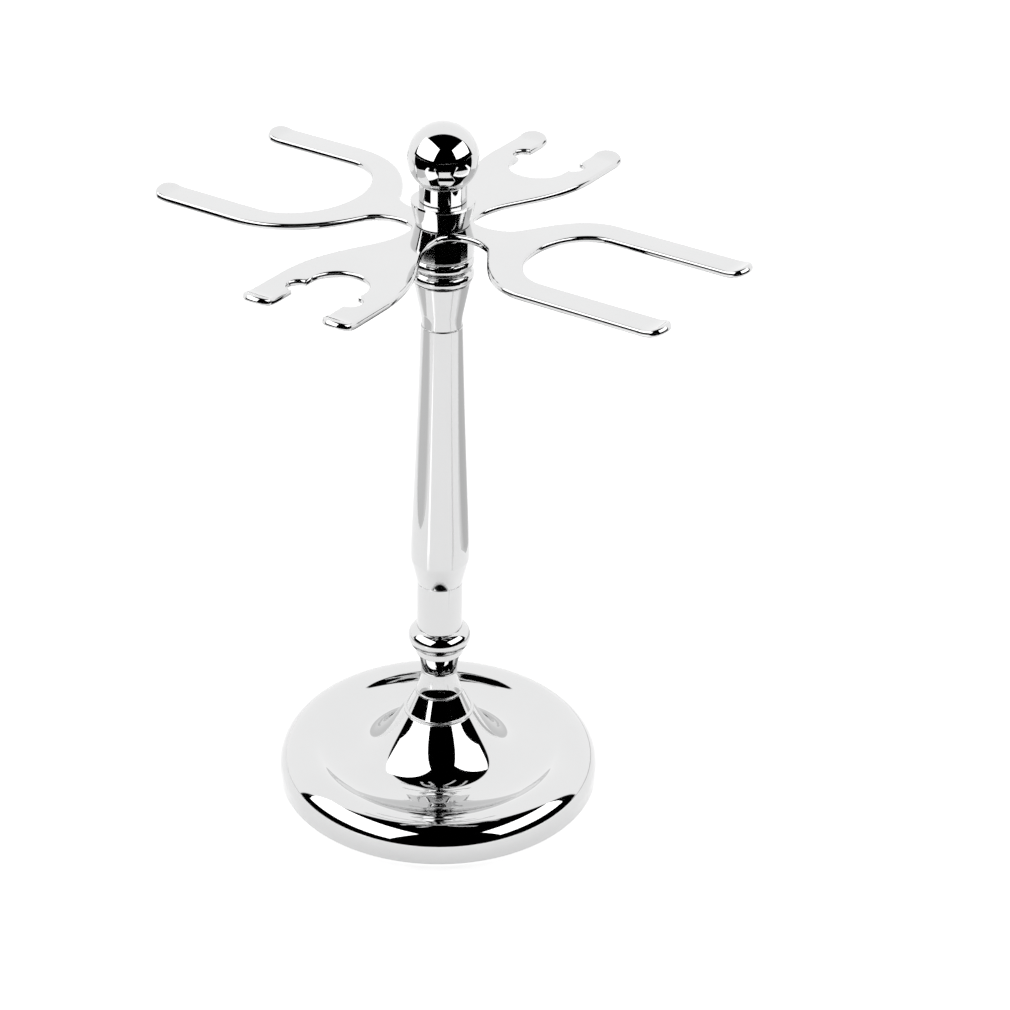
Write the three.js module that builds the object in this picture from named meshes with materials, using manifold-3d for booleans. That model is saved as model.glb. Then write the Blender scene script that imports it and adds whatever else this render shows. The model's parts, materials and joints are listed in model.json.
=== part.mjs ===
// Chrome counter stand that hangs two shaving brushes and two razors.
// Turned sections are stacked on a central threaded rod. The rod is nutted under the weighted base,
// and a ball finial on its top end clamps the four-armed hanger plate.
// Units are millimetres. +Z is up, and the origin is on the table under the stem.
// +X runs along the small brush fork and +Y along one of the razor claws.
import * as THREE from 'three';
import { mergeVertices } from 'three/addons/utils/BufferGeometryUtils.js';
import Module from 'manifold-3d';

const wasm = await Module();
wasm.setup();

// ---------- driving dimensions ----------
const STAND_HEIGHT = 153;
const BASE_RADIUS = 35;
const BIG_FORK_GAP = 31;
const SMALL_FORK_GAP = 25;
const RAZOR_SLOT = 12;
const BIG_FORK_REACH = 56.5;
const SMALL_FORK_REACH = 60.5;
const RAZOR_REACH = 50;

// threads and running gaps
const ROD_RADIUS = 2.5;
const BORE_RADIUS = 2.8;
const RUNNING_GAP = 0.1;

// base
const PAD_THICKNESS = 1.2;
const PAD_RADIUS = 32.6;
const SHELL_LIFT = 0.3;
const SHELL_SHEET = 1.0;
const RIM_CENTRE_Z = 3.0;
const RIM_ROUNDING = 5.5;
const RIM_INNER_SLOPE = THREE.MathUtils.degToRad(33);
const DISH_FLOOR_RADIUS = 20.7;
const BELL_FOOT_RADIUS = 19;
const BELL_TOP_RADIUS = 7.66;
const BELL_TOP_Z = 16.6;
const BALLAST_INSET = 1.4;

// heights of the joints in the stem, from the base up
const NECK_Z = 21.9;
const KNOP_Z = 31.6;
const BODY_Z = 49.3;
const VASE_Z = 109.8;
const BEADS_Z = 119.7;
const SEAT_Z = 125.6;
const PLATE_Z = 130.5;

// stem radii
const FERRULE_TOP_RADIUS = 4.95;
const FERRULE_RING_LIP = 0.25;
const NECK_WAIST_RADIUS = 3.9;
const NECK_TOP_RADIUS = 4.75;
const KNOP_RADIUS = 6.75;
const LOWER_SLEEVE_RADIUS = 4.9;
const BODY_MAX_RADIUS = 6.25;
const BODY_TOP_RADIUS = 4.35;
const WAIST_RADIUS = 4.15;
const VASE_TOP_RADIUS = 5.85;
const COLLAR_RADIUS = 6.42;

// hanger plate
const PLATE_THICKNESS = 1.5;
const PRONG_WIDTH = 6.3;
const TIP_ROUNDING = 2.2;
const WEB_RADIUS = 6.3;
const LIP_BEND_RADIUS = 7.0;
const LIP_BEND = THREE.MathUtils.degToRad(30);

// clamp cup and finial
const CUP_HEIGHT = 4.9;
const CUP_FOOT_RADIUS = 5.4;
const CUP_RIM_RADIUS = 6.4;
const FINIAL_NECK_RADIUS = 4.75;
const BALL_RADIUS = 7.1;
const THREAD_LENGTH = 8.0;

// M5 nuts and washers
const NUT_ACROSS_FLATS = 8;
const NUT_HEIGHT = 4;
const THIN_NUT_HEIGHT = 2.7;
const WASHER_RADIUS = 5;
const WASHER_THICKNESS = 1;
const LOCK_WASHER_RADIUS = 4.6;
const LOCK_WASHER_THICKNESS = 1.2;

// mesh fineness
const TURNED_SIDES = 28;
const BASE_SIDES = 44;
const CURVE_STEPS = 4;
const PLAN_CURVE_STEPS = 7;

// ---------- materials ----------
const finishes = {
  chrome: { color: 0xdfe1e4, roughness: 0.04, metalness: 1 },
  steel: { color: 0x9a9da1, roughness: 0.35, metalness: 1 },
  iron: { color: 0x3b3c3e, roughness: 0.8, metalness: 0.6 },
  foam: { color: 0x1b1b1c, roughness: 0.95, metalness: 0 },
};

const stand = new THREE.Group();

function addPiece(name, geometry, finish) {
  const mesh = new THREE.Mesh(geometry, new THREE.MeshStandardMaterial(finishes[finish]));
  mesh.name = name;
  stand.add(mesh);
}

// ---------- shaping helpers ----------
// Spins a closed (radius, height) loop about the stem's axis.
function spin(loop, sides = TURNED_SIDES) {
  const geometry = new THREE.LatheGeometry(loop, sides);
  geometry.rotateX(Math.PI / 2);
  return geometry;
}

// A turned section: its outside runs from its lower face up, and a plain bore closes it.
function turnedSection(outside) {
  const outer = outside.getPoints(CURVE_STEPS);
  const lower = new THREE.Vector2(BORE_RADIUS, outer[0].y);
  const upper = new THREE.Vector2(BORE_RADIUS, outer[outer.length - 1].y);
  return spin([lower, ...outer, upper, lower.clone()]);
}

function flatPart(shape, thickness, z, curveSegments = 12) {
  const geometry = new THREE.ExtrudeGeometry(shape, {
    depth: thickness,
    bevelEnabled: false,
    curveSegments,
  });
  geometry.translate(0, 0, z);
  return geometry;
}

function roundHole(radius) {
  return new THREE.Path().absarc(0, 0, radius, 0, 2 * Math.PI);
}

function toSolid(geometry) {
  const bare = geometry.clone();
  bare.deleteAttribute('normal');
  bare.deleteAttribute('uv');
  const merged = mergeVertices(bare, 1e-4);
  return new wasm.Manifold(new wasm.Mesh({
    numProp: 3,
    vertProperties: new Float32Array(merged.attributes.position.array),
    triVerts: new Uint32Array(merged.index.array),
  }));
}

function toGeometry(solid) {
  const mesh = solid.getMesh();
  const geometry = new THREE.BufferGeometry();
  geometry.setAttribute('position', new THREE.BufferAttribute(mesh.vertProperties, 3));
  geometry.setIndex(new THREE.BufferAttribute(mesh.triVerts, 1));
  return geometry;
}

// ---------- base ----------
// The dished top of the base, drawn from the foot of its wall, over the rolled rim, down into the
// dish and up the bell. An inset draws the same surface that far inside the metal.
const RIM_CENTRE_RADIUS = BASE_RADIUS - RIM_ROUNDING;
const DISH_EDGE_RADIUS = RIM_CENTRE_RADIUS - RIM_ROUNDING * Math.sin(RIM_INNER_SLOPE);
const DISH_CURVE = (DISH_EDGE_RADIUS - DISH_FLOOR_RADIUS) / Math.sin(RIM_INNER_SLOPE);
const DISH_CENTRE_Z = RIM_CENTRE_Z + (RIM_ROUNDING + DISH_CURVE) * Math.cos(RIM_INNER_SLOPE);
const DISH_FLOOR_Z = DISH_CENTRE_Z - DISH_CURVE;
const BELL_FOOT_PULL = 4.8;
const BELL_TOP_SPREAD = 3.1;
const BELL_TOP_DROP = 5.0;

function dishedOutline(inset, lowestZ) {
  const quarter = Math.PI / 2;
  const footZ = DISH_FLOOR_Z - inset;
  const topRadius = BELL_TOP_RADIUS - inset;
  const topZ = BELL_TOP_Z - inset;
  const path = new THREE.Path();
  path.moveTo(BASE_RADIUS - inset, lowestZ);
  path.lineTo(BASE_RADIUS - inset, RIM_CENTRE_Z);
  path.absarc(RIM_CENTRE_RADIUS, RIM_CENTRE_Z, RIM_ROUNDING - inset, 0, quarter + RIM_INNER_SLOPE, false);
  path.absarc(
    DISH_FLOOR_RADIUS, DISH_CENTRE_Z, DISH_CURVE + inset, RIM_INNER_SLOPE - quarter, -quarter, true,
  );
  path.lineTo(BELL_FOOT_RADIUS, footZ);
  path.bezierCurveTo(
    BELL_FOOT_RADIUS - BELL_FOOT_PULL - inset / 2, footZ,
    topRadius + BELL_TOP_SPREAD, topZ - BELL_TOP_DROP,
    topRadius, topZ,
  );
  return path;
}

function baseShell() {
  const outside = dishedOutline(0, SHELL_LIFT).getPoints(CURVE_STEPS);
  const inside = dishedOutline(SHELL_SHEET, SHELL_LIFT).getPoints(CURVE_STEPS);
  const loop = [
    ...outside,
    new THREE.Vector2(BORE_RADIUS, BELL_TOP_Z),
    new THREE.Vector2(BORE_RADIUS, BELL_TOP_Z - SHELL_SHEET),
    ...inside.reverse(),
    outside[0].clone(),
  ];
  return spin(loop, BASE_SIDES);
}

// Cast weight that fills the shell, with a pocket below for the clamping nut.
const BALLAST_Z = PAD_THICKNESS + RUNNING_GAP;
const POCKET_RADIUS = 7;
const POCKET_TOP_Z = 8;

function ballastDisc() {
  const outside = dishedOutline(BALLAST_INSET, BALLAST_Z).getPoints(CURVE_STEPS);
  const loop = [
    new THREE.Vector2(POCKET_RADIUS, BALLAST_Z),
    ...outside,
    new THREE.Vector2(BORE_RADIUS, BELL_TOP_Z - BALLAST_INSET),
    new THREE.Vector2(BORE_RADIUS, POCKET_TOP_Z),
    new THREE.Vector2(POCKET_RADIUS, POCKET_TOP_Z),
    new THREE.Vector2(POCKET_RADIUS, BALLAST_Z),
  ];
  return spin(loop, BASE_SIDES);
}

function footPad() {
  const disc = new THREE.Shape().absarc(0, 0, PAD_RADIUS, 0, 2 * Math.PI);
  return flatPart(disc, PAD_THICKNESS, 0, BASE_SIDES / 2);
}

addPiece('foot_pad', footPad(), 'foam');
addPiece('base_shell', baseShell(), 'chrome');
addPiece('ballast_disc', ballastDisc(), 'iron');

// ---------- rod, nuts and washers ----------
function hexNut(height, z) {
  const hexagon = new THREE.Shape();
  const cornerRadius = NUT_ACROSS_FLATS / Math.sqrt(3);
  for (let corner = 0; corner < 6; corner += 1) {
    const angle = corner * Math.PI / 3;
    const x = cornerRadius * Math.cos(angle);
    const y = cornerRadius * Math.sin(angle);
    if (corner === 0) {
      hexagon.moveTo(x, y);
    } else {
      hexagon.lineTo(x, y);
    }
  }
  hexagon.closePath();
  hexagon.holes.push(roundHole(BORE_RADIUS));
  return flatPart(hexagon, height, z);
}

function plainWasher(z) {
  const disc = new THREE.Shape().absarc(0, 0, WASHER_RADIUS, 0, 2 * Math.PI);
  disc.holes.push(roundHole(BORE_RADIUS));
  return flatPart(disc, WASHER_THICKNESS, z);
}

// Spring washer: a ring with a narrow split.
function lockWasher(z) {
  const splitAngle = 0.12;
  const ring = new THREE.Shape();
  ring.absarc(0, 0, LOCK_WASHER_RADIUS, splitAngle, 2 * Math.PI - splitAngle, false);
  ring.absarc(0, 0, BORE_RADIUS, 2 * Math.PI - splitAngle, splitAngle, true);
  ring.closePath();
  return flatPart(ring, LOCK_WASHER_THICKNESS, z);
}

function tieRod(lowerZ, upperZ) {
  const rod = new THREE.CylinderGeometry(ROD_RADIUS, ROD_RADIUS, upperZ - lowerZ, 24);
  rod.rotateX(Math.PI / 2);
  rod.translate(0, 0, (lowerZ + upperZ) / 2);
  return rod;
}

const CLAMP_WASHER_Z = POCKET_TOP_Z - WASHER_THICKNESS;
const LOCK_WASHER_Z = CLAMP_WASHER_Z - LOCK_WASHER_THICKNESS;
const BASE_NUT_Z = LOCK_WASHER_Z - NUT_HEIGHT;
const FINIAL_Z = PLATE_Z + PLATE_THICKNESS + RUNNING_GAP + CUP_HEIGHT + RUNNING_GAP;
const ROD_BOTTOM_Z = PAD_THICKNESS + 0.4;
const ROD_TOP_Z = FINIAL_Z + THREAD_LENGTH;

addPiece('clamp_washer', plainWasher(CLAMP_WASHER_Z), 'steel');
addPiece('lock_washer', lockWasher(LOCK_WASHER_Z), 'steel');
addPiece('base_nut', hexNut(NUT_HEIGHT, BASE_NUT_Z), 'steel');
addPiece('tie_rod', tieRod(ROD_BOTTOM_Z, ROD_TOP_Z), 'steel');

// ---------- stem ----------
// Cone that sits on the bell, with a thin flange below and a stepped ring above.
function baseFerrule() {
  const flangeHeight = 0.5;
  const flangeLip = 0.55;
  const ringHeight = 0.5;
  const path = new THREE.Path();
  path.moveTo(BELL_TOP_RADIUS, BELL_TOP_Z);
  path.lineTo(BELL_TOP_RADIUS, BELL_TOP_Z + flangeHeight);
  path.lineTo(BELL_TOP_RADIUS - flangeLip, BELL_TOP_Z + flangeHeight);
  path.lineTo(FERRULE_TOP_RADIUS, NECK_Z - ringHeight);
  path.lineTo(FERRULE_TOP_RADIUS + FERRULE_RING_LIP, NECK_Z - ringHeight);
  path.lineTo(FERRULE_TOP_RADIUS + FERRULE_RING_LIP, NECK_Z);
  return turnedSection(path);
}

// Trumpet-shaped neck: flared at its foot, and opening again a little under the knop.
function stemNeck() {
  const waistZ = 26.9;
  const path = new THREE.Path();
  path.moveTo(FERRULE_TOP_RADIUS, NECK_Z);
  path.bezierCurveTo(
    FERRULE_TOP_RADIUS - 0.6, NECK_Z + 1.5,
    NECK_WAIST_RADIUS, waistZ - 2,
    NECK_WAIST_RADIUS, waistZ,
  );
  path.bezierCurveTo(
    NECK_WAIST_RADIUS, waistZ + 1.7,
    NECK_TOP_RADIUS - 0.4, KNOP_Z - 1.4,
    NECK_TOP_RADIUS, KNOP_Z,
  );
  return turnedSection(path);
}

// Round knop on a small ring, and the plain sleeve above it.
function stemKnop() {
  const ringRadius = LOWER_SLEEVE_RADIUS + 0.3;
  const knopRounding = 2.65;
  const knopCentreRadius = KNOP_RADIUS - knopRounding;
  const knopCentreZ = 35.5;
  const lowerAngle = Math.acos((ringRadius - knopCentreRadius) / knopRounding);
  const upperAngle = Math.acos((LOWER_SLEEVE_RADIUS - knopCentreRadius) / knopRounding);
  const path = new THREE.Path();
  path.moveTo(ringRadius, KNOP_Z);
  path.lineTo(ringRadius, knopCentreZ - knopRounding * Math.sin(lowerAngle));
  path.absarc(knopCentreRadius, knopCentreZ, knopRounding, -lowerAngle, upperAngle, false);
  path.lineTo(LOWER_SLEEVE_RADIUS, BODY_Z);
  return turnedSection(path);
}

// Long handle-like body: a short flare from the sleeve, then a slim taper up to the waist.
function stemBody() {
  const flareTopZ = 55.0;
  const straightTopZ = 58.5;
  const easing = 0.6;
  const path = new THREE.Path();
  path.moveTo(LOWER_SLEEVE_RADIUS, BODY_Z);
  path.lineTo(BODY_MAX_RADIUS, flareTopZ);
  path.lineTo(BODY_MAX_RADIUS, straightTopZ);
  path.bezierCurveTo(
    BODY_MAX_RADIUS - easing, 72,
    BODY_TOP_RADIUS + easing, 86,
    BODY_TOP_RADIUS, VASE_Z,
  );
  return turnedSection(path);
}

// Slim waist that opens upwards like a vase.
function stemVase() {
  const waistTopZ = 111.4;
  const flareStart = { radius: WAIST_RADIUS + 0.35, z: 113 };
  const path = new THREE.Path();
  path.moveTo(WAIST_RADIUS, VASE_Z);
  path.quadraticCurveTo(WAIST_RADIUS, waistTopZ, flareStart.radius, flareStart.z);
  path.lineTo(VASE_TOP_RADIUS, BEADS_Z);
  return turnedSection(path);
}

// Collar of two beads.
function beadCollar() {
  const beadHeight = (SEAT_Z - BEADS_Z) / 2;
  const beadDepth = 1.3;
  const path = new THREE.Path();
  path.moveTo(COLLAR_RADIUS - beadDepth, BEADS_Z);
  for (let bead = 0; bead < 2; bead += 1) {
    const centreZ = BEADS_Z + (bead + 0.5) * beadHeight;
    path.absellipse(
      COLLAR_RADIUS - beadDepth, centreZ, beadDepth, beadHeight / 2, -Math.PI / 2, Math.PI / 2, false, 0,
    );
  }
  return turnedSection(path);
}

// Plain ring under the plate, hollow below so that it covers the stem's own nut.
function seatRing() {
  const topZ = PLATE_Z - RUNNING_GAP;
  const recessRadius = 5.2;
  const recessTopZ = SEAT_Z + WASHER_THICKNESS + THIN_NUT_HEIGHT + 0.2;
  const loop = [
    new THREE.Vector2(recessRadius, SEAT_Z),
    new THREE.Vector2(COLLAR_RADIUS, SEAT_Z),
    new THREE.Vector2(COLLAR_RADIUS, topZ),
    new THREE.Vector2(BORE_RADIUS, topZ),
    new THREE.Vector2(BORE_RADIUS, recessTopZ),
    new THREE.Vector2(recessRadius, recessTopZ),
    new THREE.Vector2(recessRadius, SEAT_Z),
  ];
  return spin(loop);
}

addPiece('base_ferrule', baseFerrule(), 'chrome');
addPiece('stem_neck', stemNeck(), 'chrome');
addPiece('stem_knop', stemKnop(), 'chrome');
addPiece('stem_body', stemBody(), 'chrome');
addPiece('stem_vase', stemVase(), 'chrome');
addPiece('bead_collar', beadCollar(), 'chrome');
addPiece('stem_washer', plainWasher(SEAT_Z), 'steel');
addPiece('stem_nut', hexNut(THIN_NUT_HEIGHT, SEAT_Z + WASHER_THICKNESS), 'steel');
addPiece('seat_ring', seatRing(), 'chrome');

// ---------- hanger plate ----------
// Each arm is drawn along its own centre line. Half of it runs from the bottom of its opening,
// along the inside of one prong, round the tip and back down the outside to the web at the hub.
const WEB_POINT = WEB_RADIUS / Math.SQRT2;

function endOfProng(path, reach, innerHalf, outerHalf) {
  const straightEnd = reach - TIP_ROUNDING;
  path.lineTo(straightEnd, innerHalf);
  path.absellipse(
    straightEnd, (innerHalf + outerHalf) / 2, TIP_ROUNDING, (outerHalf - innerHalf) / 2,
    -Math.PI / 2, Math.PI / 2, false, 0,
  );
}

// A fork's gap ends in half an oval, and its outside swells from a narrow neck to the full width.
function halfFork(fork) {
  const innerHalf = fork.gap / 2;
  const outerHalf = innerHalf + PRONG_WIDTH;
  const neck = { distance: 14.5, half: 6.1 };
  const path = new THREE.Path();
  path.absellipse(
    fork.bottom + fork.throat, 0, fork.throat, innerHalf, Math.PI, Math.PI / 2, true, 0,
  );
  endOfProng(path, fork.reach, innerHalf, outerHalf);
  path.lineTo(fork.shoulder, outerHalf);
  path.bezierCurveTo(
    fork.shoulder - fork.swell, outerHalf * 0.98,
    neck.distance + 2.6, neck.half + fork.swell * 0.46,
    neck.distance, neck.half,
  );
  path.bezierCurveTo(
    neck.distance - 1.8, neck.half - 3.1,
    WEB_POINT + 2.4, WEB_POINT - 2.4,
    WEB_POINT, WEB_POINT,
  );
  return path;
}

// A razor claw is round inside, with a small half-round nick behind each tip for the razor's collar.
function halfClaw() {
  const innerHalf = RAZOR_SLOT / 2;
  const outerHalf = innerHalf + PRONG_WIDTH;
  const bottomDistance = 29.2;
  const nickDistance = 39.3;
  const nickRadius = 2.3;
  const shoulderDistance = 36;
  const neck = { distance: 13.5, half: 4.5 };
  const path = new THREE.Path();
  path.absarc(bottomDistance + innerHalf, 0, innerHalf, Math.PI, Math.PI / 2, true);
  path.absarc(nickDistance, innerHalf, nickRadius, Math.PI, 0, true);
  endOfProng(path, RAZOR_REACH, innerHalf, outerHalf);
  path.lineTo(shoulderDistance, outerHalf);
  path.bezierCurveTo(
    shoulderDistance - 11, outerHalf * 0.98,
    neck.distance + 5, neck.half + 1.9,
    neck.distance, neck.half,
  );
  path.bezierCurveTo(
    neck.distance - 3, neck.half - 1.1,
    WEB_POINT + 1.6, WEB_POINT - 1.6,
    WEB_POINT, WEB_POINT,
  );
  return path;
}

function wholeArm(halfArm, heading) {
  const half = halfArm.getPoints(PLAN_CURVE_STEPS);
  const mirrored = half.slice(1).reverse().map((point) => new THREE.Vector2(point.x, -point.y));
  const centre = new THREE.Vector2(0, 0);
  const loop = [...mirrored, ...half];
  loop.pop();
  return loop.map((point) => point.clone().rotateAround(centre, heading));
}

// The sheet before it is cut to the plan: a flat strip under each arm that turns up at its end.
const LIP_OUTER_BEND = LIP_BEND_RADIUS + PLATE_THICKNESS;
const LIP_LENGTH = LIP_OUTER_BEND * Math.sin(LIP_BEND);

function turnedUpStrip(reach, opening, heading) {
  const width = opening + 2 * PRONG_WIDTH + 2;
  const bendStart = reach - LIP_LENGTH;
  const bendZ = PLATE_Z + LIP_OUTER_BEND;
  const side = new THREE.Shape();
  side.moveTo(0, PLATE_Z);
  side.lineTo(bendStart, PLATE_Z);
  side.absarc(bendStart, bendZ, LIP_OUTER_BEND, -Math.PI / 2, LIP_BEND - Math.PI / 2, false);
  side.absarc(bendStart, bendZ, LIP_BEND_RADIUS, LIP_BEND - Math.PI / 2, -Math.PI / 2, true);
  side.lineTo(0, PLATE_Z + PLATE_THICKNESS);
  side.closePath();
  const strip = new THREE.ExtrudeGeometry(side, { depth: width, bevelEnabled: false, curveSegments: 4 });
  strip.translate(0, 0, -width / 2);
  strip.rotateX(Math.PI / 2);
  strip.rotateZ(heading);
  return strip;
}

function hangerPlate() {
  const smallFork = {
    gap: SMALL_FORK_GAP, reach: SMALL_FORK_REACH, bottom: 21.8, throat: 9.5, shoulder: 29, swell: 8,
  };
  const bigFork = {
    gap: BIG_FORK_GAP, reach: BIG_FORK_REACH, bottom: 21.4, throat: 12.2, shoulder: 35, swell: 12,
  };
  const arms = [
    { half: halfFork(smallFork), reach: SMALL_FORK_REACH, opening: SMALL_FORK_GAP },
    { half: halfClaw(), reach: RAZOR_REACH, opening: RAZOR_SLOT },
    { half: halfFork(bigFork), reach: BIG_FORK_REACH, opening: BIG_FORK_GAP },
    { half: halfClaw(), reach: RAZOR_REACH, opening: RAZOR_SLOT },
  ];
  const corners = arms.flatMap((arm, index) => wholeArm(arm.half, index * Math.PI / 2));
  const plan = new THREE.Shape(corners);
  plan.holes.push(roundHole(BORE_RADIUS));
  const tallPlan = toSolid(flatPart(plan, 3 * PLATE_THICKNESS, PLATE_Z - 1));
  const strips = arms.map((arm, index) => toSolid(
    turnedUpStrip(arm.reach, arm.opening, index * Math.PI / 2),
  ));
  const sheet = strips.reduce((joined, strip) => joined.add(strip));
  return toGeometry(tallPlan.intersect(sheet));
}

addPiece('hanger_plate', hangerPlate(), 'chrome');

// ---------- clamp cup and finial ----------
function clampCup() {
  const footZ = PLATE_Z + PLATE_THICKNESS + RUNNING_GAP;
  const rimHeight = 0.6;
  const path = new THREE.Path();
  path.moveTo(CUP_FOOT_RADIUS, footZ);
  path.lineTo(CUP_RIM_RADIUS, footZ + CUP_HEIGHT - rimHeight);
  path.lineTo(CUP_RIM_RADIUS, footZ + CUP_HEIGHT);
  return turnedSection(path);
}

const BALL_CENTRE_Z = STAND_HEIGHT - BALL_RADIUS;
const BALL_SEAT_Z = BALL_CENTRE_Z - Math.sqrt(BALL_RADIUS ** 2 - FINIAL_NECK_RADIUS ** 2);

function finialNeck() {
  const path = new THREE.Path();
  path.moveTo(FINIAL_NECK_RADIUS, FINIAL_Z);
  path.lineTo(FINIAL_NECK_RADIUS, BALL_SEAT_Z);
  return turnedSection(path);
}

// Ball with a blind tapped hole that takes the top of the rod.
function ballKnob() {
  const holeTopZ = ROD_TOP_Z + 1;
  const seatAngle = -Math.acos(FINIAL_NECK_RADIUS / BALL_RADIUS);
  const surface = new THREE.Path().absarc(0, BALL_CENTRE_Z, BALL_RADIUS, seatAngle, Math.PI / 2, false);
  const outer = surface.getPoints(2 * CURVE_STEPS);
  outer[outer.length - 1].x = 0;
  const loop = [
    new THREE.Vector2(0, holeTopZ),
    new THREE.Vector2(BORE_RADIUS, holeTopZ),
    new THREE.Vector2(BORE_RADIUS, BALL_SEAT_Z),
    ...outer,
  ];
  return spin(loop);
}

addPiece('clamp_cup', clampCup(), 'chrome');
addPiece('finial_neck', finialNeck(), 'chrome');
addPiece('ball_knob', ballKnob(), 'chrome');

export default stand;
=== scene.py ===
# Chrome stand that hangs two shaving brushes and two razors.
# Outlines are drawn in millimetres as (distance from the stem's axis, height above the table).
import json
import math

import bmesh
import bpy
from mathutils import Matrix, Vector


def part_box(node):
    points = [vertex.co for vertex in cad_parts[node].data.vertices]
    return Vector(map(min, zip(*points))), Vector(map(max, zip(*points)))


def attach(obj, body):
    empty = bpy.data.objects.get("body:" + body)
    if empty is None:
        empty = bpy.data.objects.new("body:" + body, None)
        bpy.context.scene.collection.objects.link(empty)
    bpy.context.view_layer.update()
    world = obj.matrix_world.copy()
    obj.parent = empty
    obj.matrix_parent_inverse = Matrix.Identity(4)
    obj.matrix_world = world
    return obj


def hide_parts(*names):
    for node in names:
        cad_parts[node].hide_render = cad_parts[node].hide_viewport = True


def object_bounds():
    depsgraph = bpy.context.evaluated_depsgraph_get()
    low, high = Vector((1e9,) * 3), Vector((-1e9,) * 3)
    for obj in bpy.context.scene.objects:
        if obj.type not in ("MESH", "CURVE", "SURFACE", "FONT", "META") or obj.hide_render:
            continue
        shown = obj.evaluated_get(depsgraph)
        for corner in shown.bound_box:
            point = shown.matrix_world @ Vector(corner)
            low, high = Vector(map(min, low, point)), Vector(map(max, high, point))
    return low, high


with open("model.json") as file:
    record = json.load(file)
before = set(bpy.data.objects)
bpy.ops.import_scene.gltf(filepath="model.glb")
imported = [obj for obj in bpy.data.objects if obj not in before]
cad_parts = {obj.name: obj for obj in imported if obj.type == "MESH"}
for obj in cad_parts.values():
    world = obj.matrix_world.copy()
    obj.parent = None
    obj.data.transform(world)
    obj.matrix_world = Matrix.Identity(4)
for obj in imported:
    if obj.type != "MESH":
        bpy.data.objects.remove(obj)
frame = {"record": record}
cad_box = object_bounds()
MM = 0.001


# ---------- Dished base ----------
# Pressed from 1 mm brass sheet: a low wall, a rolled rim, a shallow dish, and a bell up to the stem.
# It is buffed to a mirror and chrome-plated, and the rod inside pulls it up against the stem.
def arc(centre, radius, start, end, steps=12):
    """Points on an arc about a centre. Angles are in degrees, from straight outwards."""
    points = []
    for step in range(steps + 1):
        angle = math.radians(start + (end - start) * step / steps)
        points.append(Vector((centre[0] + radius * math.cos(angle), centre[1] + radius * math.sin(angle))))
    return points


def swept(start, pull, push, end, steps=16):
    """Points on a smooth curve that leaves start towards pull and comes into end from push."""
    points = []
    for step in range(steps + 1):
        t = step / steps
        leaving = Vector(start).lerp(Vector(pull), t)
        middle = Vector(pull).lerp(Vector(push), t)
        arriving = Vector(push).lerp(Vector(end), t)
        points.append(leaving.lerp(middle, t).lerp(middle.lerp(arriving, t), t))
    return points


def eased(outline, radius, steps=4):
    """The closed outline with its sharp corners rounded off, as buffing leaves them.

    A guard point on each side keeps the rounding out of the shading of the long faces beside it.
    """
    sharp = math.radians(9)
    smooth = []
    for index, corner in enumerate(outline):
        before = outline[index - 1] - corner
        after = outline[(index + 1) % len(outline)] - corner
        turn = math.pi - before.angle(after)
        if turn < sharp:
            smooth.append(corner)
            continue
        cut = min(radius * math.tan(turn / 2), 0.3 * before.length, 0.3 * after.length)
        guard = 1.4 * cut
        entry = corner + before.normalized() * cut
        leave = corner + after.normalized() * cut
        smooth.append(corner + before.normalized() * guard)
        for step in range(steps + 1):
            t = step / steps
            smooth.append(entry.lerp(corner, t).lerp(corner.lerp(leave, t), t))
        smooth.append(corner + after.normalized() * guard)
    return smooth


def solid(name, work, material):
    """Makes an object of a finished bmesh, with normals that keep flat faces flat and corners soft."""
    bmesh.ops.remove_doubles(work, verts=work.verts, dist=1e-7)
    bmesh.ops.recalc_face_normals(work, faces=work.faces)
    mesh = bpy.data.meshes.new(name)
    work.to_mesh(mesh)
    work.free()
    mesh.shade_smooth()
    mesh.materials.append(material)
    piece = bpy.data.objects.new(name, mesh)
    bpy.context.scene.collection.objects.link(piece)
    even = piece.modifiers.new("even_normals", "WEIGHTED_NORMAL")
    even.weight = 100
    return piece


def turned(name, outline, material, easing=0.15, sides=160):
    """Spins a closed outline about the stem's axis. Its outside runs upwards."""
    corners = [Vector(point) for point in outline]
    apart = [here for here, last in zip(corners, corners[-1:] + corners[:-1]) if (here - last).length > 1e-4]
    loop = eased(apart, easing)
    work = bmesh.new()
    rings = []
    for side in range(sides):
        angle = 2 * math.pi * side / sides
        out = Vector((math.cos(angle), math.sin(angle), 0))
        rings.append([work.verts.new((out * reach + Vector((0, 0, height))) * MM) for reach, height in loop])
    for side in range(sides):
        here, there = rings[side], rings[(side + 1) % sides]
        for index in range(len(loop)):
            above = (index + 1) % len(loop)
            work.faces.new((here[index], there[index], there[above], here[above]))
    return solid(name, work, material)


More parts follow.
